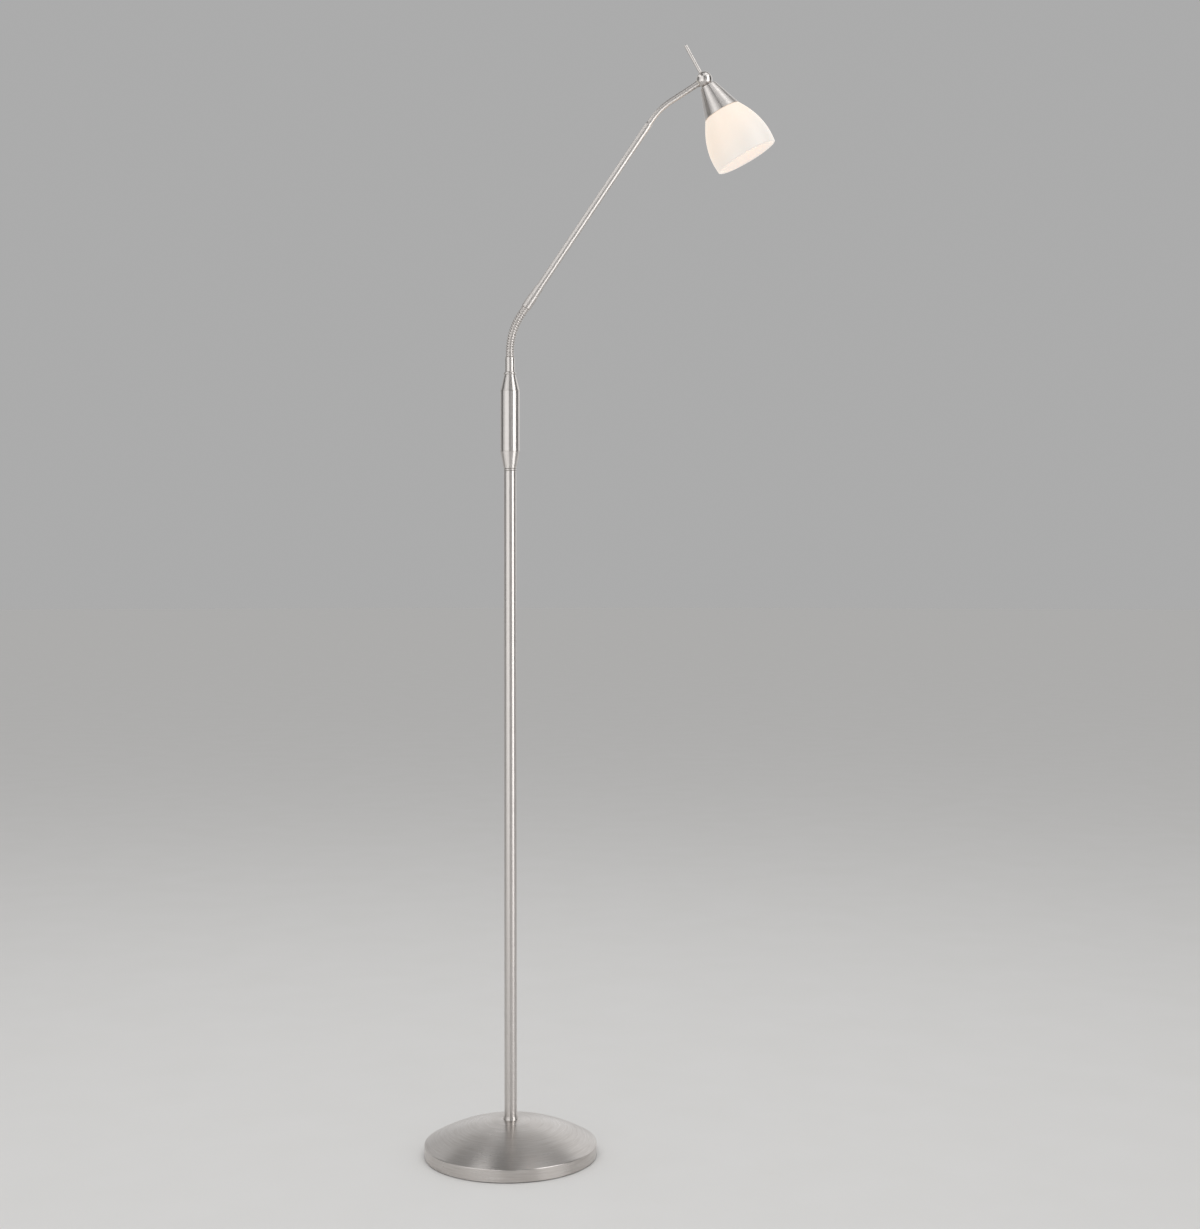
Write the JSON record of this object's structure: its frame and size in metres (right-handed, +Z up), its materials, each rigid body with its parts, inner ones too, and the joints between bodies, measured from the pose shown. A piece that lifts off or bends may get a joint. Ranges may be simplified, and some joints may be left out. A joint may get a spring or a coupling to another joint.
{
  "type": "gooseneck floor lamp",
  "caption": "Slim reading floor lamp with a round domed foot, a straight pole, a ribbed gooseneck, a slanting arm and a swivelling cone head with an opal glass bell.",
  "frame": {"origin": "centre of the felt pad's lower face, on the floor", "axes": "+Z up along the pole; +X towards the side over which the arm leans; +Y towards the cord's inlet at the back"},
  "size_m": [0.4453, 0.2214, 1.4128],
  "materials": {
    "brushed_nickel": "brushed satin nickel on steel",
    "cast_iron": "rough cast, dark primer",
    "zinc_steel": "plain zinc plate",
    "grey_felt": "dense wool felt",
    "black_plastic": "moulded black plastic",
    "white_plastic": "moulded white plastic",
    "lead_sheath": "soft grey sheath",
    "circuit_board": "green lacquered board",
    "component_plastic": "black moulded components",
    "brass": "turned brass",
    "nylon": "natural nylon",
    "ceramic": "unglazed white ceramic",
    "bulb_glass": "frosted capsule glass",
    "opal_glass": "satin opal glass, milk white"
  },
  "bodies": {
    "stand": {"foot_cover": "brushed_nickel", "cast_weight": "cast_iron", "bottom_plate": "zinc_steel", "plate_screws": "zinc_steel", "felt_pad": "grey_felt", "foot_stud": "zinc_steel", "stud_nut": "zinc_steel", "stud_washer": "zinc_steel", "foot_collar": "brushed_nickel", "cord_bush": "black_plastic", "cord_clamp": "white_plastic", "clamp_screws": "zinc_steel", "terminal_block": "white_plastic", "pole_tube": "brushed_nickel", "pole_bushes": "zinc_steel", "grip_stud": "zinc_steel", "lead_in_pole": "lead_sheath", "grip_rings": "brushed_nickel", "grip_lower_cone": "brushed_nickel", "grip_sleeve": "brushed_nickel", "grip_upper_cone": "brushed_nickel", "dimmer_discs": "white_plastic", "dimmer_board": "circuit_board", "dimmer_parts": "component_plastic", "neck_nipple": "brass", "neck_lower_ferrule": "brushed_nickel", "neck_lower_end": "brushed_nickel"},
    "link_01": {"neck_link_01": "brushed_nickel"},
    "link_02": {"neck_link_02": "brushed_nickel"},
    "link_03": {"neck_link_03": "brushed_nickel"},
    "link_04": {"neck_link_04": "brushed_nickel"},
    "link_05": {"neck_link_05": "brushed_nickel"},
    "link_06": {"neck_link_06": "brushed_nickel"},
    "link_07": {"neck_link_07": "brushed_nickel"},
    "link_08": {"neck_link_08": "brushed_nickel"},
    "link_09": {"neck_link_09": "brushed_nickel"},
    "link_10": {"neck_link_10": "brushed_nickel"},
    "link_11": {"neck_link_11": "brushed_nickel"},
    "link_12": {"neck_link_12": "brushed_nickel"},
    "link_13": {"neck_link_13": "brushed_nickel"},
    "link_14": {"neck_link_14": "brushed_nickel"},
    "link_15": {"neck_link_15": "brushed_nickel"},
    "arm": {"neck_upper_end": "brushed_nickel", "neck_upper_ferrule": "brushed_nickel", "arm_tube": "brushed_nickel", "arm_reducer": "brushed_nickel", "arm_bent_tube": "brushed_nickel", "swivel_pin": "zinc_steel", "friction_washer": "nylon"},
    "head": {"swivel_ball": "brushed_nickel", "swivel_screw": "zinc_steel", "handle_rod": "brushed_nickel", "head_cup": "brushed_nickel", "head_nipple": "brass", "head_nut": "zinc_steel", "lamp_carrier": "zinc_steel", "lamp_holder": "ceramic", "capsule_bulb": "bulb_glass", "clamp_rings": "white_plastic", "glass_shade": "opal_glass"}
  },
  "joints": [
    {"name": "neck_pitch_01", "type": "hinge", "parent": "stand", "child": "link_01", "pos_m": [0, 0, 1.0282], "axis": [0, 1, 0], "range_deg": [-13.25, 4.75]},
    {"name": "neck_sway_01", "type": "hinge", "parent": "link_01", "child": "link_02", "pos_m": [0.00024, 0, 1.03139], "axis": [0.9973, 0, -0.0741], "range_deg": [-9, 9]},
    {"name": "neck_pitch_02", "type": "hinge", "parent": "link_02", "child": "link_03", "pos_m": [0.00047, 0, 1.03458], "axis": [0, 1, 0], "range_deg": [-13.25, 4.75]},
    {"name": "neck_sway_02", "type": "hinge", "parent": "link_03", "child": "link_04", "pos_m": [0.00095, 0, 1.03775], "axis": [0.989, 0, -0.1478], "range_deg": [-9, 9]},
    {"name": "neck_pitch_03", "type": "hinge", "parent": "link_04", "child": "link_05", "pos_m": [0.00142, 0, 1.04091], "axis": [0, 1, 0], "range_deg": [-13.25, 4.75]},
    {"name": "neck_sway_03", "type": "hinge", "parent": "link_05", "child": "link_06", "pos_m": [0.00213, 0, 1.04403], "axis": [0.9753, 0, -0.2207], "range_deg": [-9, 9]},
    {"name": "neck_pitch_04", "type": "hinge", "parent": "link_06", "child": "link_07", "pos_m": [0.00283, 0, 1.04715], "axis": [0, 1, 0], "range_deg": [-13.25, 4.75]},
    {"name": "neck_sway_04", "type": "hinge", "parent": "link_07", "child": "link_08", "pos_m": [0.00377, 0, 1.05021], "axis": [0.9563, 0, -0.2924], "range_deg": [-9, 9]},
    {"name": "neck_pitch_05", "type": "hinge", "parent": "link_08", "child": "link_09", "pos_m": [0.0047, 0, 1.05327], "axis": [0, 1, 0], "range_deg": [-13.25, 4.75]},
    {"name": "neck_sway_05", "type": "hinge", "parent": "link_09", "child": "link_10", "pos_m": [0.00586, 0, 1.05626], "axis": [0.932, 0, -0.3624], "range_deg": [-9, 9]},
    {"name": "neck_pitch_06", "type": "hinge", "parent": "link_10", "child": "link_11", "pos_m": [0.00702, 0, 1.05924], "axis": [0, 1, 0], "range_deg": [-13.25, 4.75]},
    {"name": "neck_sway_06", "type": "hinge", "parent": "link_11", "child": "link_12", "pos_m": [0.0084, 0, 1.06213], "axis": [0.9026, 0, -0.4305], "range_deg": [-9, 9]},
    {"name": "neck_pitch_07", "type": "hinge", "parent": "link_12", "child": "link_13", "pos_m": [0.00978, 0, 1.06502], "axis": [0, 1, 0], "range_deg": [-13.25, 4.75]},
    {"name": "neck_sway_07", "type": "hinge", "parent": "link_13", "child": "link_14", "pos_m": [0.01137, 0, 1.06779], "axis": [0.8682, 0, -0.4962], "range_deg": [-9, 9]},
    {"name": "neck_pitch_08", "type": "hinge", "parent": "link_14", "child": "link_15", "pos_m": [0.01295, 0, 1.07057], "axis": [0, 1, 0], "range_deg": [-13.25, 4.75]},
    {"name": "neck_sway_08", "type": "hinge", "parent": "link_15", "child": "arm", "pos_m": [0.01474, 0, 1.07323], "axis": [0.829, 0, -0.5592], "range_deg": [-9, 9]},
    {"name": "head_swivel", "type": "hinge", "parent": "arm", "child": "head", "pos_m": [0.24623, 0, 1.36891], "axis": [0.8387, 0, 0.5446], "range_deg": [-150, 150]}
  ]
}
